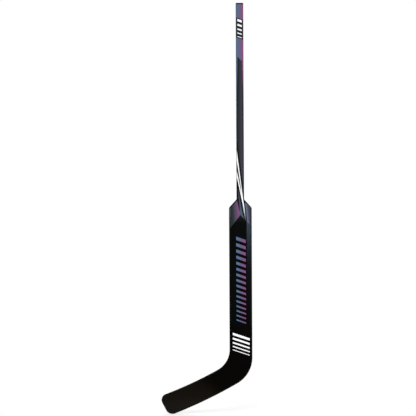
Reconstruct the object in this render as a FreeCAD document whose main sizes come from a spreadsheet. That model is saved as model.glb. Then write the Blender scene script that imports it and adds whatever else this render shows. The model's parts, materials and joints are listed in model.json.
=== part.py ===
import FreeCAD, Part
import math
import os
import re
import Sketcher

# A goalie's ice hockey stick, upright: the shaft runs along +Z, the flat faces look along Y,
# and the blade runs down towards -X. The origin is on the shaft's axis at the neck, where the
# shaft meets the paddle's sloping shoulders.

doc = FreeCAD.newDocument("goalie_stick")

SIZES = {
    # shaft: a hollow tube with rounded corners
    "shaft_width": 29.4,
    "shaft_depth": 24.0,
    "shaft_length": 763.5,
    "shaft_wall": 2.0,
    "shaft_corner": 5.0,
    # butt cap: a head on the tube's end and a ridged hollow plug in its bore
    "cap_head": 5.5,
    "cap_crown": 2.2,
    "cap_lip": 0.25,
    "cap_plug": 38.0,
    "cap_wall": 2.5,
    "plug_gap": 0.6,
    "ridge_height": 3.0,
    "ridge_pitch": 8.0,
    "ridge_count": 4,
    # bonded joints
    "bond_gap": 0.1,
    "tenon_rise": 90.0,
    "tenon_sink": 120.0,
    "tenon_wall": 4.5,
    "joint_lead": 2.5,
    "tongue_rise": 80.0,
    "tongue_sink": 60.0,
    # paddle: the wide flat lower shaft, with bevelled faces that run out towards the blade
    "paddle_width": 88.9,
    "paddle_depth": 21.0,
    "paddle_length": 572.5,
    "face_flat": 48.0,
    "bevel_drop": 3.0,
    "neck_height": 9.0,
    "neck_radius": 10.0,
    "shoulder_drop": 32.5,
    "shoulder_radius": 12.0,
    "edge_round": 5.0,
    "rail_width": 7.0,
    "skin": 1.2,
    "stringer": 2.0,
    "spine_length": 66.0,
    "spine_tip": 3.0,
    "spine_sink": 0.3,
    # blade: measured from the heel's corner, where the sole meets the paddle's right side
    "lie_angle": 26.45,
    "heel_drop": 113.0,
    "throat_drop": 68.5,
    "blade_length": 366.0,
    "toe_height": 84.6,
    "toe_rake": 1.2,
    "heel_radius": 117.0,
    "throat_radius": 92.0,
    "toe_top_radius": 24.0,
    "toe_sole_radius": 29.0,
    "sole_rocker": 1940.0,
    "top_sweep": 1680.0,
    "bow_start": 95.0,
    "bow_depth": 16.0,
    "toe_depth": 17.0,
    "heel_block_run": 120.0,
    "toe_cap_run": 34.0,
    "rib_height": 6.0,
}

sheet = doc.addObject("Spreadsheet::Sheet", "Sizes")
for row, (alias, size) in enumerate(SIZES.items(), start=1):
    sheet.set(f"A{row}", alias)
    sheet.set(f"B{row}", str(size))
    sheet.setAlias(f"B{row}", alias)
doc.recompute()

# Lengths that several pieces share, written with the names of the sheet's cells.
HALF_PADDLE = "(paddle_width / 2)"
HALF_FLAT = "(face_flat / 2)"
HALF_DEPTH = "(paddle_depth / 2)"
BORE_WIDTH = "(shaft_width - 2 * shaft_wall)"
BORE_DEPTH = "(shaft_depth - 2 * shaft_wall)"
BORE_CORNER = "(shaft_corner - shaft_wall)"
BAY_DEPTH = "(paddle_depth - 2 * skin)"
BONDED_CORNER = f"({BORE_CORNER} - bond_gap)"
JOINT_LEAD = f"min(joint_lead; 0.9 * {BONDED_CORNER})"
BEYOND = "(2 * edge_round)"
ABOVE_NECK = f"(neck_height + {BEYOND})"
SHOULDER_RUN = "(paddle_width / 2 - shaft_width / 2)"
SLOPE = f"(shoulder_drop / {SHOULDER_RUN})"
SLOPE_LENGTH = f"sqrt({SHOULDER_RUN} ^ 2 + shoulder_drop ^ 2)"


def cells(text):
    return re.sub(r"[A-Za-z_]\w*", lambda word: "Sizes." * (word[0] in SIZES) + word[0], text)


def measure(text):
    number = sheet.evalExpression(cells(text))
    return float(getattr(number, "Value", number))


def bind(thing, prop, text):
    thing.setExpression(prop, cells(text))


def place_in_blade(thing):
    # local x runs from the heel away from the toe, local z stands up from the sole
    thing.Placement = FreeCAD.Placement(FreeCAD.Vector(), FreeCAD.Rotation(FreeCAD.Vector(0, -1, 0), 1))
    bind(thing, ".Placement.Rotation.Angle", "lie_angle")
    bind(thing, ".Placement.Base.x", HALF_PADDLE)
    bind(thing, ".Placement.Base.z", "-(paddle_length + heel_drop)")


def new_body(name, in_blade=False):
    body = doc.addObject("PartDesign::Body", name)
    if in_blade:
        place_in_blade(body)
    return body


def arc_between(first, last, radius, bulges_out):
    middle = (first + last) * 0.5
    chord = last - first
    inward = FreeCAD.Vector(-chord.y, chord.x, 0).normalize()
    reach = math.sqrt(radius ** 2 - (chord.Length / 2) ** 2)
    centre = middle + inward * (reach if bulges_out else -reach)
    ends = (first, last) if bulges_out else (last, first)
    angles = [math.atan2(end.y - centre.y, end.x - centre.x) for end in ends]
    circle = Part.Circle(centre, FreeCAD.Vector(0, 0, 1), radius)
    return Part.ArcOfCircle(circle, angles[0], angles[1])


def closed_sketch(body, name, plane, outline, height="0"):
    # outline: corners in turn, anticlockwise, as (x, y) or (x, y, radius, "out" or "in") where an
    # arc of that radius runs from the corner to the next
    sketch = body.newObject("Sketcher::SketchObject", name)
    support = next(item for item in body.Origin.OriginFeatures if item.Role == plane)
    sketch.AttachmentSupport = [(support, "")]
    sketch.MapMode = "FlatFace"
    bind(sketch, ".AttachmentOffset.Base.z", height)
    corners = [FreeCAD.Vector(measure(corner[0]), measure(corner[1]), 0) for corner in outline]
    ends = []
    for index, corner in enumerate(outline):
        first = corners[index]
        last = corners[(index + 1) % len(corners)]
        if len(corner) == 2:
            sketch.addGeometry(Part.LineSegment(first, last))
            ends.append((1, 2))
        else:
            bulges_out = corner[3] == "out"
            sketch.addGeometry(arc_between(first, last, measure(corner[2]), bulges_out))
            ends.append((1, 2) if bulges_out else (2, 1))
    for index, corner in enumerate(outline):
        following = (index + 1) % len(outline)
        start = ends[index][0]
        sketch.addConstraint(
            Sketcher.Constraint("Coincident", index, ends[index][1], following, ends[following][0]))
        for kind, text in (("DistanceX", corner[0]), ("DistanceY", corner[1])):
            rule = sketch.addConstraint(Sketcher.Constraint(kind, -1, 1, index, start, measure(text)))
            bind(sketch, f"Constraints[{rule}]", text)
        if len(corner) > 2:
            rule = sketch.addConstraint(Sketcher.Constraint("Radius", index, measure(corner[2])))
            bind(sketch, f"Constraints[{rule}]", corner[2])
    return sketch


def rounded_rectangle(width, depth, radius):
    long_x = f"{width} / 2"
    short_x = f"({width} / 2 - {radius})"
    long_y = f"{depth} / 2"
    short_y = f"({depth} / 2 - {radius})"
    return [
        (f"-{short_x}", f"-{long_y}"),
        (short_x, f"-{long_y}", radius, "out"),
        (long_x, f"-{short_y}"),
        (long_x, short_y, radius, "out"),
        (short_x, long_y),
        (f"-{short_x}", long_y, radius, "out"),
        (f"-{long_x}", short_y),
        (f"-{long_x}", f"-{short_y}", radius, "out"),
    ]


def rectangle(left, bottom, right, top):
    return [(left, bottom), (right, bottom), (right, top), (left, top)]


def swept(body, kind, sketch, length, way="up"):
    # a Pad or Pocket of the sketch: up its normal, down against it, or both ways from it
    feature = body.newObject(f"PartDesign::{kind}", f"{sketch.Name}_{kind.lower()}")
    feature.Profile = sketch
    bind(feature, "Length", length)
    if way == "both":
        feature.SideType = "Symmetric"
    feature.Reversed = (way == "down") if kind == "Pad" else (way == "up")
    doc.recompute()
    return feature


def prism(name, plane, outline, length, way="both", in_blade=False, height="0"):
    body = new_body(name, in_blade)
    swept(body, "Pad", closed_sketch(body, f"{name}_outline", plane, outline, height), length, way)
    return body


def loft(name, sections):
    body = new_body(name)
    sketches = [closed_sketch(body, f"{name}_section_{index}", "XY_Plane", outline, height)
                for index, (outline, height) in enumerate(sections)]
    feature = body.newObject("PartDesign::AdditiveLoft", f"{name}_loft")
    feature.Profile = sketches[0]
    feature.Sections = sketches[1:]
    feature.Ruled = True
    doc.recompute()
    return body


def edge_feature(body, kind, size, wanted):
    # a Fillet or Chamfer on every edge of the body that the test accepts
    base = body.Tip
    names = [f"Edge{index}" for index, edge in enumerate(base.Shape.Edges, start=1) if wanted(edge)]
    feature = body.newObject(f"PartDesign::{kind}", f"{body.Name}_{kind.lower()}")
    feature.Base = (base, names)
    bind(feature, "Radius" if kind == "Fillet" else "Size", size)
    doc.recompute()
    return feature


def lies_at(edge, axis, place):
    # the whole edge lies in the plane across the axis at that place
    box = edge.BoundBox
    low = getattr(box, f"{axis}Min")
    high = getattr(box, f"{axis}Max")
    return abs(low - place) < 1e-4 and abs(high - place) < 1e-4


def combine(name, kind, *pieces):
    result = doc.addObject(f"Part::{kind}", name)
    if kind == "MultiCommon":
        result.Shapes = list(pieces)
    else:
        result.Base = pieces[0]
        result.Tool = pieces[1]
    doc.recompute()
    return result


def block(name, low, high):
    box = doc.addObject("Part::Box", name)
    for axis, side, least, most in zip("xyz", ("Length", "Width", "Height"), low, high):
        bind(box, f".Placement.Base.{axis}", least)
        bind(box, side, f"({most}) - ({least})")
    doc.recompute()
    return box


# Shaft: an outer pad that stands on the paddle's neck, and the bore cut through it.
shaft = new_body("shaft_tube")
outside = rounded_rectangle("shaft_width", "shaft_depth", "shaft_corner")
bore = rounded_rectangle(BORE_WIDTH, BORE_DEPTH, BORE_CORNER)
swept(shaft, "Pad", closed_sketch(shaft, "shaft_outside", "XY_Plane", outside, "neck_height"),
      "shaft_length - neck_height")
swept(shaft, "Pocket", closed_sketch(shaft, "shaft_bore", "XY_Plane", bore, "neck_height"),
      "shaft_length - neck_height", "up")

# Butt cap: crowned head a lip wider than the tube, plug with a row of ridges that grip the bore,
# hollowed from below.
cap = new_body("butt_cap")
head = rounded_rectangle("(shaft_width + 2 * cap_lip)", "(shaft_depth + 2 * cap_lip)",
                         "(shaft_corner + cap_lip)")
swept(cap, "Pad", closed_sketch(cap, "cap_outside", "XY_Plane", head, "shaft_length"), "cap_head")
edge_feature(cap, "Fillet", "cap_crown",
             lambda edge: lies_at(edge, "Z", measure("shaft_length + cap_head")))
plug = rounded_rectangle(f"({BORE_WIDTH} - 2 * plug_gap)", f"({BORE_DEPTH} - 2 * plug_gap)",
                         f"({BORE_CORNER} - plug_gap)")
swept(cap, "Pad", closed_sketch(cap, "cap_plug_outline", "XY_Plane", plug, "shaft_length"),
      "cap_plug", "down")
ridge = rounded_rectangle(f"({BORE_WIDTH} - 2 * bond_gap)", f"({BORE_DEPTH} - 2 * bond_gap)",
                          BONDED_CORNER)
ridge_top = "shaft_length - (ridge_pitch - ridge_height)"
first_ridge = swept(cap, "Pad", closed_sketch(cap, "cap_ridge", "XY_Plane", ridge, ridge_top),
                    "ridge_height", "down")
ridges = cap.newObject("PartDesign::LinearPattern", "cap_ridges")
ridges.Originals = [first_ridge]
ridges.Direction = (next(item for item in cap.Origin.OriginFeatures if item.Role == "Z_Axis"), [""])
ridges.Reversed = True
bind(ridges, "Length", "ridge_pitch * (ridge_count - 1)")
bind(ridges, "Occurrences", "ridge_count")
cap.Tip = ridges
doc.recompute()
hollow = rounded_rectangle(f"({BORE_WIDTH} - 2 * plug_gap - 2 * cap_wall)",
                           f"({BORE_DEPTH} - 2 * plug_gap - 2 * cap_wall)", f"({BORE_CORNER} / 2)")
swept(cap, "Pocket", closed_sketch(cap, "cap_hollow", "XY_Plane", hollow, "shaft_length - cap_plug"),
      "cap_plug", "up")


def bonded_section(depth):
    return rounded_rectangle(f"({BORE_WIDTH} - 2 * bond_gap)", f"({depth} - 2 * bond_gap)",
                             BONDED_CORNER)


# Neck tenon: glued up into the shaft's bore and down into the paddle's bay, hollow right through.
tenon = new_body("neck_tenon")
for part, depth, length, way in (("upper", BORE_DEPTH, "tenon_rise - neck_height", "up"),
                                 ("lower", BAY_DEPTH, "tenon_sink + neck_height", "down")):
    section = closed_sketch(tenon, f"tenon_{part}", "XY_Plane", bonded_section(depth), "neck_height")
    swept(tenon, "Pad", section, length, way)
edge_feature(tenon, "Chamfer", JOINT_LEAD,
             lambda edge: any(lies_at(edge, "Z", measure(end)) for end in ("tenon_rise", "-tenon_sink")))
tenon_hollow = rounded_rectangle(f"({BORE_WIDTH} - 2 * tenon_wall)", f"({BAY_DEPTH} - 2 * tenon_wall)",
                                 f"({BORE_CORNER} / 2)")
swept(tenon, "Pocket", closed_sketch(tenon, "tenon_hollow", "XY_Plane", tenon_hollow, "-tenon_sink"),
      "tenon_sink + tenon_rise", "up")

# Heel tongue: glued across the seam between the paddle's bay and the blade's heel.
tongue = new_body("heel_tongue")
swept(tongue, "Pad",
      closed_sketch(tongue, "tongue_section", "XY_Plane", bonded_section(BAY_DEPTH),
                    "tongue_rise - paddle_length"), "tongue_rise + tongue_sink", "down")
edge_feature(tongue, "Chamfer", JOINT_LEAD,
             lambda edge: any(lies_at(edge, "Z", measure(end)) for end in
                              ("tongue_rise - paddle_length", "-paddle_length - tongue_sink")))


def paddle_section(drop):
    # flat face, bevel falling away by the drop at the side, and a rounded edge tangent to both
    bevel = f"atan({drop} / ({HALF_PADDLE} - {HALF_FLAT}))"
    tangent = f"(edge_round * tan(45 deg - {bevel} / 2))"
    low = f"({HALF_DEPTH} - {drop})"
    bevel_x = f"({HALF_PADDLE} - {tangent} * cos({bevel}))"
    bevel_y = f"({low} + {tangent} * sin({bevel}))"
    side_y = f"({low} - {tangent})"
    return [
        (f"-{HALF_FLAT}", f"-{HALF_DEPTH}"),
        (HALF_FLAT, f"-{HALF_DEPTH}"),
        (bevel_x, f"-{bevel_y}", "edge_round", "out"),
        (HALF_PADDLE, f"-{side_y}"),
        (HALF_PADDLE, side_y, "edge_round", "out"),
        (bevel_x, bevel_y),
        (HALF_FLAT, HALF_DEPTH),
        (f"-{HALF_FLAT}", HALF_DEPTH),
        (f"-{bevel_x}", bevel_y, "edge_round", "out"),
        (f"-{HALF_PADDLE}", side_y),
        (f"-{HALF_PADDLE}", f"-{side_y}", "edge_round", "out"),
        (f"-{bevel_x}", f"-{bevel_y}"),
    ]


def core_section(drop):
    # the paddle's section less its skins, out to the full width
    flat_y = f"({BAY_DEPTH} / 2)"
    side_y = f"({BAY_DEPTH} / 2 - {drop})"
    return [
        (f"-{HALF_PADDLE}", f"-{side_y}"), (f"-{HALF_FLAT}", f"-{flat_y}"),
        (HALF_FLAT, f"-{flat_y}"), (HALF_PADDLE, f"-{side_y}"),
        (HALF_PADDLE, side_y), (HALF_FLAT, flat_y),
        (f"-{HALF_FLAT}", flat_y), (f"-{HALF_PADDLE}", side_y),
    ]


# Paddle envelope: a loft from the bevelled top to the flat seam, trimmed by the shoulders' outline,
# with a neck and a spine on each face that carry the shaft's section down into the paddle.
paddle_form = loft("paddle_form", [(paddle_section("bevel_drop"), "neck_height"),
                                   (paddle_section("0"), "-paddle_length")])
paddle_foot = f"-(paddle_length + {BEYOND})"
half_turn = f"tan(atan({SHOULDER_RUN} / shoulder_drop) / 2)"
neck_tangent = f"(neck_radius * {half_turn})"
corner_tangent = f"(shoulder_radius * {half_turn})"
corner_end = f"-(shoulder_drop + {corner_tangent})"
outer_x = f"({HALF_PADDLE} + {BEYOND})"


def on_shoulder(side, down):
    # a point of the left (-) or right shoulder's line, that far down from the neck
    return (f"{side}(shaft_width / 2 + {down} * {SHOULDER_RUN} / {SLOPE_LENGTH})",
            f"-{down} * shoulder_drop / {SLOPE_LENGTH}")


shoulders = prism("paddle_shoulders", "XZ_Plane", [
    (f"-{outer_x}", paddle_foot),
    (outer_x, paddle_foot),
    (outer_x, corner_end),
    (HALF_PADDLE, corner_end, "shoulder_radius", "out"),
    on_shoulder("", f"({SLOPE_LENGTH} - {corner_tangent})"),
    on_shoulder("", neck_tangent) + ("neck_radius", "in"),
    ("shaft_width / 2", neck_tangent),
    ("shaft_width / 2", "neck_height"),
    ("-shaft_width / 2", "neck_height"),
    ("-shaft_width / 2", neck_tangent, "neck_radius", "in"),
    on_shoulder("-", neck_tangent),
    on_shoulder("-", f"({SLOPE_LENGTH} - {corner_tangent})") + ("shoulder_radius", "out"),
    (f"-{HALF_PADDLE}", corner_end),
    (f"-{outer_x}", corner_end),
], "paddle_depth")


def is_shoulder_rim(edge):
    box = edge.BoundBox
    return box.XLength > 1e-4 and box.ZLength > 1e-4


edge_feature(shoulders, "Fillet", "edge_round", is_shoulder_rim)
spine = loft("paddle_spine", [
    (outside, "neck_height"),
    (outside, "0"),
    (rounded_rectangle("spine_tip", "(paddle_depth - 2 * spine_sink)", "(spine_tip / 4)"),
     "-spine_length"),
])
paddle = combine("paddle_envelope", "Fuse",
                 combine("paddle_trimmed", "Common", paddle_form, shoulders), spine)

# Paddle lay-up: rails outside the inner outline, skins over it, and in it a middle bay for the
# tenon and tongue between two stringers, with a foam core on each side.
inner_x = f"({HALF_PADDLE} - rail_width)"
bay_x = f"({BORE_WIDTH} / 2)"


def inset_shoulder(x):
    return f"-(({x} - shaft_width / 2) * {SLOPE} + rail_width * sqrt(1 + {SLOPE} ^ 2))"


paddle_inner = prism("paddle_inner", "XZ_Plane", [
    (f"-{inner_x}", paddle_foot), (inner_x, paddle_foot), (inner_x, inset_shoulder(inner_x)),
    (bay_x, inset_shoulder(bay_x)), (bay_x, ABOVE_NECK), (f"-{bay_x}", ABOVE_NECK),
    (f"-{bay_x}", inset_shoulder(bay_x)), (f"-{inner_x}", inset_shoulder(inner_x)),
], "2 * shaft_depth")
bay = prism("paddle_bay", "XY_Plane", rounded_rectangle(BORE_WIDTH, BAY_DEPTH, BORE_CORNER),
            "paddle_length + neck_height", "down", height="neck_height")
bay_column = prism("bay_column", "XZ_Plane", rectangle(f"-{bay_x}", paddle_foot, bay_x, ABOVE_NECK),
                   "2 * shaft_depth")
core_form = loft("paddle_core_form", [(core_section("bevel_drop"), "neck_height"),
                                      (core_section("0"), "-paddle_length")])
core_sides = combine("core_sides", "Cut",
                     combine("core_inside", "Common", core_form, paddle_inner), bay_column)
cavity = combine("paddle_cavity", "Fuse", core_sides, bay)
nodes = [cap, shaft, tenon, tongue]
for face, least, most in (("front", "-shaft_depth", "0"), ("back", "0", "shaft_depth")):
    half = block(f"{face}_half", (f"-{HALF_PADDLE}", least, paddle_foot), (HALF_PADDLE, most, ABOVE_NECK))
    shell = combine(f"{face}_layer", "MultiCommon", paddle, paddle_inner, half)
    nodes.append(combine(f"paddle_{face}_skin", "Cut", shell, cavity))
for side, least, most in (("left", f"-{outer_x}", "0"), ("right", "0", outer_x)):
    half = block(f"{side}_half", (least, "-shaft_depth", paddle_foot), (most, "shaft_depth", ABOVE_NECK))
    sign = "-" if side == "left" else ""
    web_x = sorted((f"{sign}{bay_x}", f"{sign}({bay_x} + stringer)"), key=measure)
    web = prism(f"{side}_web_zone", "XZ_Plane", rectangle(web_x[0], paddle_foot, web_x[1], ABOVE_NECK),
                "2 * shaft_depth")
    edge_part = combine(f"{side}_edge", "Common", paddle, half)
    nodes.append(combine(f"paddle_{side}_rail", "Cut", edge_part, paddle_inner))
    nodes.append(combine(f"paddle_{side}_stringer", "Common", core_sides, web))
    core_part = combine(f"{side}_core_part", "Common", core_sides, half)
    nodes.append(combine(f"paddle_{side}_core", "Cut", core_part, web))
centre_core = prism("paddle_centre_core", "XY_Plane",
                    rounded_rectangle(BORE_WIDTH, BAY_DEPTH, BORE_CORNER),
                    "paddle_length - tongue_rise - tenon_sink", "down", height="-tenon_sink")
nodes.append(centre_core)

# Blade: corners in its own frame. Upright and crosswise steps of the paddle are turned by the lie.
UP = ("sin(lie_angle)", "cos(lie_angle)")
LEFT = ("-cos(lie_angle)", "sin(lie_angle)")


def paddle_point(rise, across):
    return tuple(f"({rise} * {up} + {across} * {left})" for up, left in zip(UP, LEFT))


throat = paddle_point("(heel_drop - throat_drop)", "paddle_width")
toe_top = ("-(blade_length + toe_rake)", "toe_height")
toe_sole = ("-blade_length", "0")
blade_reach = f"(blade_length + toe_rake + {BEYOND})"
blade_outline = [
    toe_sole + ("sole_rocker", "out"),
    ("0", "0"),
    paddle_point("heel_drop", "0"),
    paddle_point("heel_drop", "paddle_width"),
    throat + ("top_sweep", "in"),
    toe_top,
]
deep = "(4 * (paddle_depth + bow_depth))"
high = "(4 * (heel_drop + paddle_width + blade_length))"


def outline_body(name):
    body = prism(name, "XZ_Plane", blade_outline, deep, in_blade=True)
    for corner, radius in ((throat, "throat_radius"), (("0", "0"), "heel_radius"),
                           (toe_top, "toe_top_radius"), (toe_sole, "toe_sole_radius")):
        place = [measure(part) for part in corner]
        edge_feature(body, "Fillet", radius,
                     lambda edge: lies_at(edge, "X", place[0]) and lies_at(edge, "Z", place[1]))
    return body


# Bow: each face runs flat from the paddle and then along an arc away from the front.
RUN = "(blade_length + toe_rake - bow_start)"
THINNING = "((paddle_depth - toe_depth) / 2)"
reach = f"({RUN} + {BEYOND})"


def bow_line(face, inset):
    sign = "-" if face == "front" else ""
    fall = f"(bow_depth {'+' if face == 'front' else '-'} {THINNING})"
    radius = f"(({RUN} ^ 2 + {fall} ^ 2) / (2 * {fall}) {'-' if face == 'front' else '+'} {inset})"
    level = f"({sign}({HALF_DEPTH} - {inset}))"
    toe_level = f"({level} + {radius} - sqrt({radius} ^ 2 - {reach} ^ 2))"
    return level, toe_level, radius


toe_end = f"-(bow_start + {reach})"
heel_end = "(paddle_width + heel_drop)"


def face_outline(face, inset):
    # all that lies outside one face of the blade, or outside the layer under it
    level, toe_level, radius = bow_line(face, inset)
    if face == "front":
        return [(toe_end, f"-{deep}"), (heel_end, f"-{deep}"), (heel_end, level),
                ("-bow_start", level, radius, "in"), (toe_end, toe_level)]
    return [(toe_end, toe_level, radius, "out"), ("-bow_start", level), (heel_end, level),
            (heel_end, deep), (toe_end, deep)]


def core_outline():
    front, front_toe, front_radius = bow_line("front", "skin")
    back, back_toe, back_radius = bow_line("back", "skin")
    return [(toe_end, front_toe, front_radius, "out"), ("-bow_start", front), (heel_end, front),
            (heel_end, back), ("-bow_start", back, back_radius, "in"), (toe_end, back_toe)]


blade = outline_body("blade_envelope")
for face in ("front", "back"):
    waste = closed_sketch(blade, f"blade_{face}_face", "XY_Plane", face_outline(face, "0"))
    swept(blade, "Pocket", waste, high, "both")


def is_blade_rim(edge):
    # an edge between one of the bowed faces and the blade's outline, away from the seam
    faces = blade.Tip.Shape.ancestorsOfType(edge, Part.Face)
    middle = edge.valueAt((edge.FirstParameter + edge.LastParameter) / 2)
    across = [abs(face.normalAt(*face.Surface.parameter(middle)).y) for face in faces]
    seam_normal = FreeCAD.Vector(measure(UP[0]), 0, measure(UP[1]))
    at_seam = abs(middle.dot(seam_normal) - measure("heel_drop")) < 1e-4
    return min(across) < 0.5 < max(across) and not at_seam


edge_feature(blade, "Fillet", "edge_round", is_blade_rim)

# Blade lay-up: a rail round the rim, skins, and a core split by a rib, with a block in the heel.
rim = outline_body("blade_rim")
rim_solid = rim.Tip
open_faces = []
for index, face in enumerate(rim_solid.Shape.Faces, start=1):
    seam_face = abs(face.CenterOfMass.dot(FreeCAD.Vector(measure(UP[0]), 0, measure(UP[1])))
                    - measure("heel_drop")) < 1e-4
    if seam_face or abs(face.normalAt(0, 0).y) > 0.5:
        open_faces.append(f"Face{index}")
rim_wall = rim.newObject("PartDesign::Thickness", "rim_wall")
rim_wall.Base = (rim_solid, open_faces)
rim_wall.Reversed = True
bind(rim_wall, "Value", "rail_width")
doc.recompute()

rails = combine("blade_rails", "Common", blade, rim)
layers = combine("blade_layers", "Cut", blade, rim)
for face in ("front", "back"):
    zone = prism(f"blade_{face}_zone", "XY_Plane", face_outline(face, "skin"), high, in_blade=True)
    nodes.append(combine(f"blade_{face}_skin", "Common", layers, zone))
core_zone = prism("blade_core_zone", "XY_Plane", core_outline(), high, in_blade=True)
blade_core = combine("blade_core", "Common", layers, core_zone)

low = f"-{high}"
toe_zone = prism("toe_zone", "XZ_Plane", rectangle(low, low, "toe_cap_run - blade_length", high), deep,
                 in_blade=True)
seam_middle = paddle_point("heel_drop", HALF_PADDLE)
above_seam = paddle_point("(2 * heel_drop)", HALF_PADDLE)
upper_zone = prism("upper_zone", "XZ_Plane", [
    (f"-{blade_reach}", "toe_height / 2"), tuple(f"{part} / 2" for part in throat),
    seam_middle, above_seam, (f"-{blade_reach}", above_seam[1]),
], deep, in_blade=True)
long_rails = combine("long_rails", "Cut", rails, toe_zone)
nodes.append(combine("blade_toe_cap", "Common", rails, toe_zone))
nodes.append(combine("blade_top_rail", "Common", long_rails, upper_zone))
nodes.append(combine("blade_sole_rail", "Cut", long_rails, upper_zone))

heel_zone = prism("heel_zone", "XZ_Plane", rectangle("-heel_block_run", low, high, high), deep,
                  in_blade=True)
rib_low = "(toe_height - rib_height) / 2"
rib_high = "(toe_height + rib_height) / 2"
rib_zone = prism("rib_zone", "XZ_Plane", rectangle(low, rib_low, high, rib_high), deep, in_blade=True)
above_rib = prism("above_rib", "XZ_Plane", rectangle(low, rib_low, high, high), deep, in_blade=True)
slot = prism("tongue_slot", "XY_Plane", rounded_rectangle(BORE_WIDTH, BAY_DEPTH, BORE_CORNER),
             "tongue_sink", "down", height="-paddle_length")
heel_core = combine("heel_core", "Common", blade_core, heel_zone)
nodes.append(combine("heel_block", "Cut", heel_core, slot))
long_core = combine("long_core", "Cut", blade_core, heel_zone)
nodes.append(combine("blade_rib", "Common", long_core, rib_zone))
split_core = combine("split_core", "Cut", long_core, rib_zone)
nodes.append(combine("blade_upper_core", "Common", split_core, above_rib))
nodes.append(combine("blade_lower_core", "Cut", split_core, above_rib))

doc.recompute()
faults = [item.Name for item in doc.Objects if {"Invalid", "Error"} & set(item.State)]
for node in nodes:
    node.Label = node.Name
    if node.Shape.isNull() or not node.Shape.isValid() or len(node.Shape.Solids) != 1:
        faults.append(node.Label)
if faults:
    raise SystemExit(f"these did not build: {faults}")

os.makedirs("parts", exist_ok=True)
for node in nodes:
    node.Shape.exportStep(f"parts/{node.Label}.step")
    print(f"{node.Label}: {node.Shape.Volume / 1000:.1f} cm3")
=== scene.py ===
import json
import math
import bpy
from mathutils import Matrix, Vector

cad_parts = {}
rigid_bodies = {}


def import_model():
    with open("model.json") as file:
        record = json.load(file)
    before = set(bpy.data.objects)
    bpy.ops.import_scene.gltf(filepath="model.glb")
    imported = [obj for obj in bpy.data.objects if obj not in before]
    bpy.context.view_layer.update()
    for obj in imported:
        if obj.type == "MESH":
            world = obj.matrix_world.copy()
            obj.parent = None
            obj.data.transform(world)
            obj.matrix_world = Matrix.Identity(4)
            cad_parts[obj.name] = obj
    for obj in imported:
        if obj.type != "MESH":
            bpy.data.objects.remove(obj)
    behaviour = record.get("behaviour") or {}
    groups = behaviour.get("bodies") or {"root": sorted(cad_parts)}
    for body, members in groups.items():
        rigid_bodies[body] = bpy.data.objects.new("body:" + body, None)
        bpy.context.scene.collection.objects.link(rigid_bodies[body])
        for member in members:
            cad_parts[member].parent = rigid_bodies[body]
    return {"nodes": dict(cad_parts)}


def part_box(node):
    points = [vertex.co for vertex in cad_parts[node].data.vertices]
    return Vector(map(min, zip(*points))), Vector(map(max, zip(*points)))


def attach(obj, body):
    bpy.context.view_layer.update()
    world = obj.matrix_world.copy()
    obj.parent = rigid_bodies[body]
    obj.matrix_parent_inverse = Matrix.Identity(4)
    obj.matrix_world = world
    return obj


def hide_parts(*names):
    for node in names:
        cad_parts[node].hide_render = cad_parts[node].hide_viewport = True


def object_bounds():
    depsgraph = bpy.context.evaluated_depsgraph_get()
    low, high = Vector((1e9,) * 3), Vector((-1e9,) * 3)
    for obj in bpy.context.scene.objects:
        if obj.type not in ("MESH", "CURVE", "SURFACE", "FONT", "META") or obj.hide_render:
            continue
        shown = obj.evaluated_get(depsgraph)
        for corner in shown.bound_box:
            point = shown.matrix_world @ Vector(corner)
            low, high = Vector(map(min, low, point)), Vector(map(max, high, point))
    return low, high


bpy.ops.object.select_all(action="SELECT")  # the startup cube, lamp and camera
bpy.ops.object.delete()

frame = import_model()
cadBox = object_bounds()
nodes = frame["nodes"]
millimetre = 0.001
smoothAngle = math.radians(35)  # faces that meet at less than this shade as one
print("frame loaded with", len(nodes), "nodes")


def linearColour(code):
    # an sRGB hex code as the linear colour that Blender's sockets take
    parts = [int(code[at:at + 2], 16) / 255 for at in (0, 2, 4)]
    return [part / 12.92 if part <= 0.04045 else ((part + 0.055) / 1.055) ** 2.4 for part in parts] + [1.0]


def clearSelection():
    bpy.ops.object.select_all(action="DESELECT")


def pick(piece):
    clearSelection()
    piece.select_set(True)
    bpy.context.view_layer.objects.active = piece


def startEdit(piece):
    # edit mode, with the whole mesh selected
    pick(piece)
    bpy.ops.object.mode_set(mode="EDIT")
    bpy.ops.mesh.select_all(action="SELECT")


def endEdit():
    bpy.ops.object.mode_set(mode="OBJECT")


def selectNone(piece, kind):
    # nothing selected in the mesh, so that faces or edges can be picked one by one
    startEdit(piece)
    bpy.ops.mesh.select_mode(type=kind)
    bpy.ops.mesh.select_all(action="DESELECT")
    endEdit()


def deleteFaces(piece, test):
    selectNone(piece, "FACE")
    for face in piece.data.polygons:
        face.select = test(face.center, face.normal)
    bpy.ops.object.mode_set(mode="EDIT")
    bpy.ops.mesh.delete(type="FACE")
    endEdit()


def selectEdges(piece, test):
    # leaves edit mode on, with only the edges that pass the test selected
    selectNone(piece, "EDGE")
    points = piece.data.vertices
    for edge in piece.data.edges:
        edge.select = test(*[points[index].co for index in edge.vertices])
    bpy.ops.object.mode_set(mode="EDIT")


def copyMesh(name, source):
    piece = bpy.data.objects.new(name, source.data.copy())
    bpy.context.scene.collection.objects.link(piece)
    return piece


def applyModifier(piece, kind, **values):
    pick(piece)
    modifier = piece.modifiers.new(kind.lower(), kind)
    for key, value in values.items():
        setattr(modifier, key, value)
    bpy.ops.object.modifier_apply(modifier=modifier.name)


def smooth(piece):
    pick(piece)
    bpy.ops.object.shade_smooth_by_angle(angle=smoothAngle)


def wear(piece, finish):
    # puts a finish on a piece in place of whatever it had
    piece.data.materials.clear()
    piece.data.materials.append(finish)


# Node helpers: each takes the finish or world it works in, and most give back the socket of their result.
def startFinish(name, gloss):
    finish = bpy.data.materials.new(name)
    finish.use_nodes = True
    shader = finish.node_tree.nodes["Principled BSDF"]
    shader.inputs["Specular IOR Level"].default_value = gloss
    return finish, shader


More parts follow.
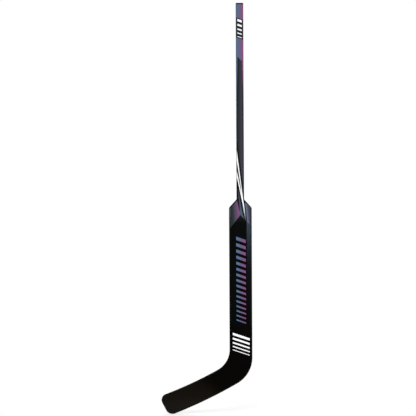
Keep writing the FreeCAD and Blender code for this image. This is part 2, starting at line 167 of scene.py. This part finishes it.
def addNode(finish, kind, **values):
    node = finish.node_tree.nodes.new(kind)
    for key, value in values.items():
        setattr(node, key, value)
    return node


def plug(finish, giver, taker):
    finish.node_tree.links.new(giver, taker)


def emptyTree(finish, outputKind):
    # leaves only a new output node, and gives back its surface socket
    finish.use_nodes = True
    finish.node_tree.nodes.clear()
    return addNode(finish, outputKind).inputs["Surface"]


def compute(finish, operation, *values):
    node = addNode(finish, "ShaderNodeMath", operation=operation)
    for socket, value in zip(node.inputs, values):
        if isinstance(value, (int, float)):
            socket.default_value = value
        else:
            plug(finish, value, socket)
    return node.outputs[0]


def weighted(finish, first, firstShare, second, secondShare):
    # the sum of two values, each times its share
    return compute(finish, "ADD", compute(finish, "MULTIPLY", first, firstShare),
                   compute(finish, "MULTIPLY", second, secondShare))


def place(finish):
    return addNode(finish, "ShaderNodeTexCoord").outputs["Object"]


def axes(finish):
    split = addNode(finish, "ShaderNodeSeparateXYZ")
    plug(finish, place(finish), split.inputs[0])
    return split.outputs


def slanted(finish, across, upward):
    # a ruler along a direction in the plane of the stick's faces
    at = axes(finish)
    return weighted(finish, at["X"], across, at["Z"], upward)


def grain(finish, scale, stretch=(1, 1, 1), detail=2.0):
    mapping = addNode(finish, "ShaderNodeMapping")
    mapping.inputs["Scale"].default_value = stretch
    plug(finish, place(finish), mapping.inputs["Vector"])
    noise = addNode(finish, "ShaderNodeTexNoise")
    noise.inputs["Scale"].default_value = scale
    noise.inputs["Detail"].default_value = detail
    plug(finish, mapping.outputs[0], noise.inputs["Vector"])
    return noise.outputs["Fac"]


def braid(finish, pitch):
    # crossed tows at 45 degrees to the stick, from 0 to 1
    x, y, z = axes(finish)
    turns, half = 2 * math.pi / pitch, 0.5
    along = compute(finish, "ADD", x, y)
    waves = []
    for operation in ("ADD", "SUBTRACT"):
        slope = compute(finish, operation, along, z)
        waves.append(compute(finish, "SINE", compute(finish, "MULTIPLY", slope, turns)))
    return compute(finish, "MULTIPLY_ADD", compute(finish, "MULTIPLY", *waves), half, half)


def mapRange(finish, giver, start, stop, low, high, easing="LINEAR"):
    span = addNode(finish, "ShaderNodeMapRange", interpolation_type=easing)
    plug(finish, giver, span.inputs["Value"])
    for key, value in (("From Min", start), ("From Max", stop), ("To Min", low), ("To Max", high)):
        span.inputs[key].default_value = value
    return span.outputs["Result"]


def between(finish, giver, low, high):
    # a pattern from 0 to 1, moved to run from low to high
    return mapRange(finish, giver, 0, 1, low, high)


def reach(finish, giver, start, stop):
    # 0 to 1 between two places in millimetres, easing in and out
    return mapRange(finish, giver, start * millimetre, stop * millimetre, 0, 1, "SMOOTHSTEP")


def fade(finish, giver, stops, unit=1):
    # stops: (place, hex code); the ramp runs from the first place to the last
    first, last = stops[0][0], stops[-1][0]
    ramp = addNode(finish, "ShaderNodeValToRGB")
    plug(finish, mapRange(finish, giver, first * unit, last * unit, 0, 1), ramp.inputs["Fac"])
    points = ramp.color_ramp.elements
    while len(points) < len(stops):
        points.new(0.5)  # anywhere, since all are placed below
    for point, (at, code) in zip(points, stops):
        point.position = (at - first) / (last - first)
        point.color = linearColour(code)
    return ramp.outputs["Color"]


def shadeBy(finish, colour, giver, low, high):
    # multiplies a colour by a pattern that runs between two shares
    mix = addNode(finish, "ShaderNodeVectorMath", operation="SCALE")
    plug(finish, colour, mix.inputs[0])
    plug(finish, between(finish, giver, low, high), mix.inputs["Scale"])
    return mix.outputs[0]


def blendColours(finish, share, first, last):
    # a Mix node has sockets of one name for each kind of value, so those for colours go by number
    mix = addNode(finish, "ShaderNodeMix", data_type="RGBA")
    shareAt, firstAt, lastAt, resultAt = 0, 6, 7, 2
    for giver, at in ((share, shareAt), (first, firstAt), (last, lastAt)):
        plug(finish, giver, mix.inputs[at])
    return mix.outputs[resultAt]


def bumped(finish, shader, giver, height, strength):
    bump = addNode(finish, "ShaderNodeBump")
    bump.inputs["Strength"].default_value = strength
    bump.inputs["Distance"].default_value = height
    plug(finish, giver, bump.inputs["Height"])
    plug(finish, bump.outputs[0], shader.inputs["Normal"])


# Lacquer over braided carbon. Down the stick it goes over from the shaft's coat into the paddle's black and
# from that into the warmer black of the heel and the blade, which is less glossy and painted lighter toward
# the toe, a painted light where light falls on the bow.
lacquer = {
    "tow": 0.0036, "towShare": 0.55, "cloudSize": 14.0, "cloudShare": 0.45, "darkAt": 0.15, "lightAt": 0.85,
    "gloss": 0.1, "roughness": (0.16, 0.22), "mottleSize": 260.0, "mottleShare": 0.7, "towRoughShare": 0.3,
    "peelSize": 900.0, "peelHeight": 0.000008, "peelStrength": 0.35,
}
shaftCoat = {"light": "1c1e1e", "dark": "101212"}
skinCoat = {"light": "0b0b0b", "dark": "050505"}
railCoat = {"light": "0f0f0f", "dark": "080808"}
heelCoat = {"light": "080604", "dark": "030201"}
bladeCoat = {"light": "090705", "dark": "040302", "gloss": 0.05}
webCoat = {"light": "2a2a2c", "dark": "151516"}
belowNeck, aboveHeel = (-66, -96), (-440, -565)  # heights in millimetres
# Painted light: the blade's black is made up to three times lighter toward the toe, for light falling on the
# bowed toe.
paintedToeLight = {"direction": (0.64, 0.77), "places": (-605, -695), "shares": (1.0, 3.0)}  # (across, upward)


def coatColour(finish, pattern, coat):
    return fade(finish, pattern, [(lacquer["darkAt"], coat["dark"]), (lacquer["lightAt"], coat["light"])])


def lacquerFinish(name, coat, changes=(), paintedLight=None):
    # changes: (heights that it starts and ends at, coat that it goes over into), from the top down
    finish, shader = startFinish(name, coat.get("gloss", lacquer["gloss"]))
    weave = braid(finish, lacquer["tow"])
    cloud = grain(finish, lacquer["cloudSize"])
    pattern = weighted(finish, weave, lacquer["towShare"], cloud, lacquer["cloudShare"])
    colour = coatColour(finish, pattern, coat)
    for heights, lowerCoat in changes:
        lowerColour = coatColour(finish, pattern, lowerCoat)
        colour = blendColours(finish, reach(finish, axes(finish)["Z"], *heights), colour, lowerColour)
    # painted light: a lighter toe painted into the base colour
    if paintedLight:
        toe = reach(finish, slanted(finish, *paintedLight["direction"]), *paintedLight["places"])
        colour = shadeBy(finish, colour, toe, *paintedLight["shares"])
    plug(finish, colour, shader.inputs["Base Color"])
    mottle = grain(finish, lacquer["mottleSize"])
    rough = weighted(finish, mottle, lacquer["mottleShare"], weave, lacquer["towRoughShare"])
    plug(finish, between(finish, rough, *lacquer["roughness"]), shader.inputs["Roughness"])
    peel = grain(finish, lacquer["peelSize"])
    bumped(finish, shader, peel, lacquer["peelHeight"], lacquer["peelStrength"])
    return finish


shaftLacquer = lacquerFinish("shaftLacquer", shaftCoat)
blackLacquer = lacquerFinish("blackLacquer", shaftCoat, [(belowNeck, skinCoat), (aboveHeel, heelCoat)])
railLacquer = lacquerFinish("railLacquer", shaftCoat, [(belowNeck, railCoat), (aboveHeel, heelCoat)])
bladeLacquer = lacquerFinish("bladeLacquer", bladeCoat, paintedLight=paintedToeLight)
webCarbon = lacquerFinish("webCarbon", webCoat)

# Printed films: a colour fade along one direction, fine flake, and the lacquer's soft gloss.
filmCoat = {
    "gloss": 0.12, "roughness": (0.2, 0.28), "mottleSize": 300.0, "flakeSize": 1400.0, "flakeDetail": 1.0,
}
colourFlake, whiteFlake = (0.93, 1.07), (0.97, 1.0)
acrossStick, alongStick = (1.0, 0.0), (0.0, 1.0)


def filmFinish(name, stops, direction=acrossStick, start=0.0, flake=colourFlake):
    finish, shader = startFinish(name, filmCoat["gloss"])
    ruler = compute(finish, "ADD", slanted(finish, *direction), start * millimetre)
    colour = fade(finish, ruler, stops, millimetre)
    flakes = grain(finish, filmCoat["flakeSize"], detail=filmCoat["flakeDetail"])
    plug(finish, shadeBy(finish, colour, flakes, *flake), shader.inputs["Base Color"])
    mottle = grain(finish, filmCoat["mottleSize"])
    plug(finish, between(finish, mottle, *filmCoat["roughness"]), shader.inputs["Roughness"])
    return finish


# Rubber of the butt cap, and inside the stick rigid foam and planed wood. In each, one pattern gives the
# colour, the roughness and the bump.
rubber = {
    "grainSize": 1800.0, "stretch": (1, 1, 1), "detail": 3.0, "stops": [(0.3, "121212"), (0.7, "1f1f1f")],
    "gloss": 0.3, "roughness": (0.55, 0.8), "height": 0.00006, "strength": 0.5,
}
foam = {
    "cellSize": 700.0, "stops": [(0.0, "d9cda0"), (0.7, "b7a675")],
    "gloss": 0.2, "roughness": (0.75, 0.95), "height": 0.0002, "strength": 0.4,
}
wood = {
    "grainSize": 60.0, "stretch": (6.0, 6.0, 0.35), "detail": 6.0,
    "stops": [(0.3, "95683a"), (0.7, "c79f6b")],
    "gloss": 0.3, "roughness": (0.5, 0.75), "height": 0.0001, "strength": 0.4,
}


def grainPattern(finish, stuff):
    return grain(finish, stuff["grainSize"], stuff["stretch"], stuff["detail"])


def cellPattern(finish, stuff):
    cells = addNode(finish, "ShaderNodeTexVoronoi")
    cells.inputs["Scale"].default_value = stuff["cellSize"]
    plug(finish, place(finish), cells.inputs["Vector"])
    return cells.outputs["Distance"]


def patternFinish(name, stuff, makePattern):
    finish, shader = startFinish(name, stuff["gloss"])
    pattern = makePattern(finish, stuff)
    plug(finish, fade(finish, pattern, stuff["stops"]), shader.inputs["Base Color"])
    plug(finish, between(finish, pattern, *stuff["roughness"]), shader.inputs["Roughness"])
    bumped(finish, shader, pattern, stuff["height"], stuff["strength"])
    return finish


capRubber = patternFinish("capRubber", rubber, grainPattern)
coreFoam = patternFinish("coreFoam", foam, cellPattern)
jointWood = patternFinish("jointWood", wood, grainPattern)

for name, node in nodes.items():
    if name == "butt_cap":
        wear(node, capRubber)
    elif name in ("neck_tenon", "heel_tongue"):
        wear(node, jointWood)
    elif "core" in name or name == "heel_block":
        wear(node, coreFoam)
    elif "stringer" in name or name == "blade_rib":
        wear(node, webCarbon)
    elif name.startswith("blade"):
        wear(node, bladeLacquer)
    else:
        wear(node, railLacquer if "rail" in name else blackLacquer)
print("finishes made and put on the nodes")


# Shaft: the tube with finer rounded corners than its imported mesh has.
shaft = {"corner": 5.0 * millimetre, "cornerSteps": 10, "wall": 2.0 * millimetre}
endFacing = 0.9  # a face whose normal has more Z than this closes an end
longEdge = 0.1  # metres, which only the four edges along the shaft pass
low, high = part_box("shaft_tube")
clearSelection()
bpy.ops.mesh.primitive_cube_add(size=1, location=(low + high) / 2)
shaftShell = bpy.context.object
shaftShell.name = "shaftShell"
bpy.ops.transform.resize(value=high - low)
bpy.ops.object.transform_apply(location=True, rotation=True, scale=True)
deleteFaces(shaftShell, lambda centre, normal: abs(normal.z) > endFacing)
selectEdges(shaftShell, lambda first, last: abs(first.z - last.z) > longEdge)
bpy.ops.mesh.bevel(offset=shaft["corner"], segments=shaft["cornerSteps"], affect="EDGES")
bpy.ops.mesh.select_all(action="SELECT")
bpy.ops.mesh.normals_make_consistent(inside=False)
endEdit()
applyModifier(shaftShell, "SOLIDIFY", thickness=shaft["wall"], offset=-1.0, use_even_offset=True)
smooth(shaftShell)
wear(shaftShell, shaftLacquer)
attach(shaftShell, "root")
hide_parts("shaft_tube")
print("shaft done,", len(shaftShell.data.polygons), "faces")


# Outer surface of the shaft, the paddle and the blade as one open sheet, which the films are cut from.
faceFacing = 0.3  # a face whose normal has more Y than this belongs to the front or the back
railEndFacing = 0.95
mergeDistance = 2e-6


def outerSheet(source, outward):
    sheet = copyMesh("sheetPart", source)
    startEdit(sheet)
    bpy.ops.mesh.remove_doubles(threshold=mergeDistance)
    endEdit()
    bpy.ops.mesh.customdata_custom_splitnormals_clear()
    deleteFaces(sheet, lambda centre, normal: not outward(centre, normal))
    return sheet


def onTube(centre, normal):
    return abs(normal.z) < endFacing and centre.x * normal.x + centre.y * normal.y > 0


def onSkin(centre, normal):
    return abs(normal.y) > faceFacing and centre.y * normal.y > 0


def onRail(centre, normal):
    return abs(normal.z) < railEndFacing and (centre.x * normal.x > 0 or abs(normal.y) > faceFacing)


sheets = [outerSheet(shaftShell, onTube)]
sheets += [outerSheet(nodes[name], onSkin) for name in ("paddle_front_skin", "paddle_back_skin")]
sheets += [outerSheet(nodes[name], onRail) for name in ("paddle_left_rail", "paddle_right_rail")]
sheets += [outerSheet(nodes[name], onSkin) for name in ("blade_front_skin", "blade_back_skin")]
clearSelection()
for sheet in sheets:
    sheet.select_set(True)
bpy.context.view_layer.objects.active = sheets[0]
bpy.ops.object.join()
stickSheet = bpy.context.object
stickSheet.name = "stickSheet"
print("outer sheet joined,", len(stickSheet.data.polygons), "faces")

# Films are cut from copies of the sheet. Their outlines are (x, z) corners. Outlines, the places of the
# colour stops and lifts are in millimetres.
cut = {
    "margin": 1.0 * millimetre, "onPlane": 1e-6, "weld": 0.02 * millimetre, "flatAngle": math.radians(0.05),
}


def sidesOf(outline):
    return zip(outline, outline[1:] + outline[:1])


def inside(outline, x, z):
    within = False
    for (x1, z1), (x2, z2) in sidesOf(outline):
        if (z1 > z) != (z2 > z) and x < x1 + (z - z1) * (x2 - x1) / (z2 - z1):
            within = not within
    return within


def bisectFilm(film, point, normal, clearOuter=False):
    startEdit(film)
    bpy.ops.mesh.bisect(plane_co=point, plane_no=normal, clear_outer=clearOuter, threshold=cut["onPlane"])
    endEdit()


def cutFilm(name, outlines, finish, lift, frontOnly=False):
    # cuts along the outlines' sides, keeps what lies in them, and gives it thickness
    outlines = [[(x * millimetre, z * millimetre) for x, z in outline] for outline in outlines]
    film = copyMesh(name, stickSheet)
    if frontOnly:
        deleteFaces(film, lambda centre, normal: normal.y > -faceFacing)
    heights = [z for outline in outlines for x, z in outline]
    bisectFilm(film, (0, 0, min(heights) - cut["margin"]), (0, 0, -1), clearOuter=True)
    bisectFilm(film, (0, 0, max(heights) + cut["margin"]), (0, 0, 1), clearOuter=True)
    for outline in outlines:
        for (x1, z1), (x2, z2) in sidesOf(outline):
            bisectFilm(film, (x1, 0, z1), Vector((z2 - z1, 0, x1 - x2)).normalized())
    deleteFaces(film, lambda centre, normal: not any(inside(outline, centre.x, centre.z)
                                                     for outline in outlines))
    startEdit(film)
    bpy.ops.mesh.remove_doubles(threshold=cut["weld"])
    bpy.ops.mesh.dissolve_limited(angle_limit=cut["flatAngle"])
    endEdit()
    applyModifier(film, "SOLIDIFY", thickness=lift * millimetre, offset=1.0, use_even_offset=True)
    smooth(film)
    wear(film, finish)
    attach(film, "root")
    print("film", name, len(film.data.polygons), "faces")


# Upper film: blue to plum across the shaft, with a tail down each edge.
upperFilm = {
    "outline": [(-20, 763.3), (20, 763.3), (20, 150), (9.3, 540), (-8.9, 557.7), (-9.4, 507), (-10.4, 468),
                (-11.4, 421), (-12.5, 345), (-20, 98)],
    "stops": [(-12, "4f627b"), (-7, "56607a"), (-2, "5f5b77"), (3, "665674"), (7, "725173"), (11, "7d4b73")],
    "lift": 0.08,
}
cutFilm("upperFilm", [upperFilm["outline"]], filmFinish("upperFade", upperFilm["stops"]),
        upperFilm["lift"])

# Slate panel between the upper film's tails and the white stripe.
slatePanel = {
    "outline": [(9.3, 540), (-4.9, 553.8), (-5.7, 468), (-7.3, 400), (-10.3, 350), (-15, 261), (9.9, 61.5),
                (9.9, 518)],
    "stops": [(-12, "212525"), (-8, "262a2b"), (-4, "2a2d31"), (0, "2f3238"), (4, "36353d"), (10, "403843")],
    "lift": 0.08,
}
cutFilm("slatePanel", [slatePanel["outline"]], filmFinish("slateFade", slatePanel["stops"]),
        slatePanel["lift"])

# White stripe: two branches from the left edge that meet and run down over the neck, fading out.
whiteStripe = {
    "outline": [(-13.4, 193), (10.6, 0.8), (16.2, -36.8), (20.6, -68), (22.4, -84), (18.6, -84), (16.2, -68),
                (9.4, -22), (3.3, 10), (-11.8, 81), (-13.4, 87.4), (-13.4, 111.2), (0.2, 42.5), (4.4, 20),
                (1.6, 51), (-13.4, 153.8)],
    "stops": [(-84, "2a2a28"), (-76, "4e4f48"), (-68, "6a6d60"), (-60, "868682"), (-50, "b8b8b6"),
              (-30, "e4e4e3"), (-20, "f6f6f5"), (200, "f6f6f5")],
    "lift": 0.14,
}
cutFilm("whiteStripe", [whiteStripe["outline"]],
        filmFinish("whiteFade", whiteStripe["stops"], alongStick, flake=whiteFlake), whiteStripe["lift"])

# Slate band beside the stripe, down to the point of the black field.
slateBand = {
    "outline": [(-10, 37.6), (-4.9, 29.7), (-1.6, -1.6), (8.6, -57), (14.5, -76.5), (-0.6, -61.4),
                (-2.2, -54.4), (-3.3, -29), (-6.1, 2.3)],
    "stops": [(-72, "4d5368"), (-55, "4e546a"), (-25, "4a4e62"), (5, "4b4a58"), (38, "2b2b33")],
    "lift": 0.1,
}
cutFilm("slateBand", [slateBand["outline"]], filmFinish("bandFade", slateBand["stops"], alongStick),
        slateBand["lift"])

# Left shoulder panel, which fades away from its slanted side by the stripe.
leftPanel = {
    "outline": [(-12.6, -5.8), (-2.2, -52.4), (-2.4, -63.7), (-40, -112.6), (-40, -40), (-37, -32.5)],
    "stops": [(-34, "282b2b"), (-28, "2d3335"), (-24, "373c44"), (-20, "454453"), (-16, "54455f"),
              (-12, "684666"), (-7, "74476d"), (-3, "6d5577"), (0, "675f80")],
    "direction": (1.0, 0.08),
    "start": 5.6,
    "lift": 0.1,
}
cutFilm("leftPanel", [leftPanel["outline"]],
        filmFinish("leftFade", leftPanel["stops"], leftPanel["direction"], leftPanel["start"]),
        leftPanel["lift"])

# Painted highlight: a dull plum strip on the left bevel under the shoulder, painted where the rounded edge
# catches light.
paintedEdgeHighlight = {
    "outline": [(-46, -36), (-38.4, -33), (-38.4, -70), (-46, -78)],
    "stops": [(-80, "2e2c33"), (-66, "423d49"), (-36, "48434f")],
    "lift": 0.13,
}
cutFilm("paintedEdgeHighlight", [paintedEdgeHighlight["outline"]], filmFinish("paintedEdgeHighlightFade", paintedEdgeHighlight["stops"], alongStick),
        paintedEdgeHighlight["lift"])

# Right shoulder panel, which fades the same way.
rightPanel = {
    "outline": [(17.6, -11.1), (24.6, -64.9), (26.8, -89.6), (40, -103.2), (40, -40), (37, -32.5)],
    "stops": [(0, "5a647f"), (4, "575e77"), (8, "453b50"), (12, "37252f"), (16, "2c1a1d"), (20, "221718")],
    "direction": (1.0, 0.083),
    "start": -17.9,
    "lift": 0.1,
}
cutFilm("rightPanel", [rightPanel["outline"]],
        filmFinish("rightFade", rightPanel["stops"], rightPanel["direction"], rightPanel["start"]),
        rightPanel["lift"])


# Bars: plain slanted ones that thin out downwards, with even gaps. A box is left, right, top and bottom.
def barOutlines(bars):
    left, right, top, bottom = bars["box"]
    steps = bars["count"] - 1
    heights = [bars["thick"] + (bars["thin"] - bars["thick"]) * at / steps for at in range(bars["count"])]
    gap = (top - bottom - bars["drop"] - sum(heights)) / steps
    outlines = []
    for height in heights:
        rightTop = top - bars["drop"]
        outlines.append([(left, top), (right, rightTop), (right, rightTop - height), (left, top - height)])
        top -= height + gap
    return outlines


paddleBars = {
    "box": (-16.8, 20, -146, -487), "count": 16, "thick": 13, "thin": 5, "drop": 13,
    "stops": [(-18, "4f6d87"), (-8, "56637f"), (2, "5d5878"), (12, "724c72"), (22, "904379")],
    "lift": 0.1,
}
cutFilm("paddleBars", barOutlines(paddleBars), filmFinish("barFade", paddleBars["stops"]),
        paddleBars["lift"], frontOnly=True)

heelBars = {
    "box": (-32, 34, -522, -612), "count": 5, "thick": 9, "thin": 3, "drop": 22,
    "stops": [(-620, "e9e9e8"), (-510, "f3f3f2")],
    "lift": 0.1,
}
cutFilm("heelBars", barOutlines(heelBars),
        filmFinish("heelWhite", heelBars["stops"], alongStick, flake=whiteFlake),
        heelBars["lift"], frontOnly=True)

# The shaft's bars are white on a black patch.
shaftPatch = {
    "outline": [(-13, 712), (13, 702.8), (13, 624), (-13, 633.2)],
    "stops": [(620, "1c1e1e"), (715, "222424")],
    "lift": 0.11,
}
cutFilm("shaftPatch", [shaftPatch["outline"]], filmFinish("patchBlack", shaftPatch["stops"], alongStick),
        shaftPatch["lift"], frontOnly=True)

shaftBars = {
    "box": (-8.5, 8.5, 706, 630), "count": 5, "thick": 9, "thin": 3, "drop": 6,
    "stops": [(625, "e4e4e6"), (710, "ededee")],
    "lift": 0.14,
}
cutFilm("shaftBars", barOutlines(shaftBars),
        filmFinish("shaftWhite", shaftBars["stops"], alongStick, flake=whiteFlake),
        shaftBars["lift"], frontOnly=True)

bpy.data.objects.remove(stickSheet)
print("films done")


# Floor under the toe: a pale disc that keeps the shadow and runs out into the white round it.
floor = {"radius": 0.4, "sides": 96, "fadeFrom": 0.3, "albedo": 0.82, "shadowShare": 0.35}
clearSelection()
bpy.ops.mesh.primitive_circle_add(vertices=floor["sides"], radius=floor["radius"], fill_type="NGON",
                                  location=(0, 0, cadBox[0].z))
floorDisc = bpy.context.object
floorDisc.name = "floorDisc"
bpy.ops.object.transform_apply(location=True)
floorFinish = bpy.data.materials.new("paleFloor")
floorSurface = emptyTree(floorFinish, "ShaderNodeOutputMaterial")
matte = addNode(floorFinish, "ShaderNodeBsdfDiffuse")
matte.inputs["Color"].default_value = (floor["albedo"], floor["albedo"], floor["albedo"], 1)
glow = addNode(floorFinish, "ShaderNodeEmission")
glow.inputs["Strength"].default_value = 1.0
rays = addNode(floorFinish, "ShaderNodeLightPath").outputs
mirrored = compute(floorFinish, "MAXIMUM", rays["Is Glossy Ray"], rays["Is Transmission Ray"])
seen = compute(floorFinish, "MAXIMUM", rays["Is Camera Ray"], mirrored)
at = axes(floorFinish)
fromCentre = compute(floorFinish, "SQRT", weighted(floorFinish, at["X"], at["X"], at["Y"], at["Y"]))
ring = mapRange(floorFinish, fromCentre, floor["fadeFrom"], floor["radius"], 1 - floor["shadowShare"], 1,
                "SMOOTHSTEP")
blend = addNode(floorFinish, "ShaderNodeMixShader")
plug(floorFinish, compute(floorFinish, "MULTIPLY", seen, ring), blend.inputs[0])
plug(floorFinish, matte.outputs[0], blend.inputs[1])
plug(floorFinish, glow.outputs[0], blend.inputs[2])
plug(floorFinish, blend.outputs[0], floorSurface)
wear(floorDisc, floorFinish)

# World: white to the camera and straight behind the stick, soft grey light all round, and for
# reflections dim studio walls under a lighter ceiling.
studio = {"dome": 0.47, "wall": 0.02, "ceiling": 0.5, "backdrop": 0.995}
world = bpy.data.worlds.new("studio")
bpy.context.scene.world = world
worldSurface = emptyTree(world, "ShaderNodeOutputWorld")
rays = addNode(world, "ShaderNodeLightPath").outputs
split = addNode(world, "ShaderNodeSeparateXYZ")
plug(world, addNode(world, "ShaderNodeTexCoord").outputs["Generated"], split.inputs[0])
mirrored = compute(world, "MAXIMUM", rays["Is Glossy Ray"], rays["Is Transmission Ray"])
unmirrored = compute(world, "SUBTRACT", 1.0, mirrored)
behind = compute(world, "GREATER_THAN", split.outputs["Y"], studio["backdrop"])
ceiling = compute(world, "MULTIPLY", split.outputs["Z"], studio["ceiling"])
walls = compute(world, "MAXIMUM", ceiling, studio["wall"])
room = weighted(world, mirrored, walls, unmirrored, studio["dome"])
white = compute(world, "MAXIMUM", rays["Is Camera Ray"], compute(world, "MULTIPLY", mirrored, behind))
backdrop = addNode(world, "ShaderNodeBackground")
backdrop.inputs["Color"].default_value = (1, 1, 1, 1)
plug(world, compute(world, "MAXIMUM", white, room), backdrop.inputs["Strength"])
plug(world, backdrop.outputs[0], worldSurface)


# Lamps: a broad distant key in front and one behind, two softboxes beside the upper shaft, and a slim
# bluish one for the bevel.
def aimLamp(lamp, toward):
    lamp.rotation_euler = toward.to_track_quat("-Z", "Y").to_euler()


keys = {"azimuths": {"frontKey": -8, "rearKey": 172}, "elevation": -40, "strength": 2.1, "spread": 30,
        "place": (0, 0, 3)}
for name, azimuth in keys["azimuths"].items():
    clearSelection()
    bpy.ops.object.light_add(type="SUN", location=keys["place"])
    lamp = bpy.context.object
    lamp.name = name
    lamp.data.energy = keys["strength"]
    lamp.data.angle = math.radians(keys["spread"])
    turn, fall = math.radians(azimuth), math.radians(keys["elevation"])
    aimLamp(lamp, Vector((-math.sin(turn), math.cos(turn), math.tan(fall))))
softboxes = {
    "upperLeft": {"place": (-2.6, -1.5, 1.25), "size": (0.8, 1.5), "power": 9, "colour": (1, 1, 1)},
    "upperRight": {"place": (1.6, -2.6, 1.3), "size": (0.8, 1.5), "power": 16, "colour": (1, 1, 1)},
    "slim": {"place": (0.95, -3.4, 0.04), "size": (0.25, 0.5), "power": 11.9, "colour": (0.47, 0.72, 1.0)},
}
softboxAim = Vector((0, 0, -0.1))
for name, softbox in softboxes.items():
    clearSelection()
    bpy.ops.object.light_add(type="AREA", location=softbox["place"])
    lamp = bpy.context.object
    lamp.name = name
    lamp.data.shape = "RECTANGLE"
    lamp.data.size, lamp.data.size_y = softbox["size"]
    lamp.data.energy = softbox["power"]
    lamp.data.color = softbox["colour"]
    lamp.visible_camera = False
    aimLamp(lamp, softboxAim - Vector(softbox["place"]))

# Camera: a long lens square to the front face, turned a quarter of a degree as the photograph is.
camera = {"centre": (-0.1267, -0.0335), "distance": 7.0, "width": 1.6304, "roll": 0.26, "sensor": 36.0}
clearSelection()
bpy.ops.object.camera_add(location=(camera["centre"][0], -camera["distance"], camera["centre"][1]),
                          rotation=(math.pi / 2, math.radians(camera["roll"]), 0))
view = bpy.context.object
view.name = "photoView"
view.data.sensor_width = camera["sensor"]
view.data.lens = camera["sensor"] * camera["distance"] / camera["width"]
bpy.context.scene.camera = view
bpy.context.scene.view_settings.view_transform = "Standard"
print("stage, lamps and camera placed")

clearSelection()
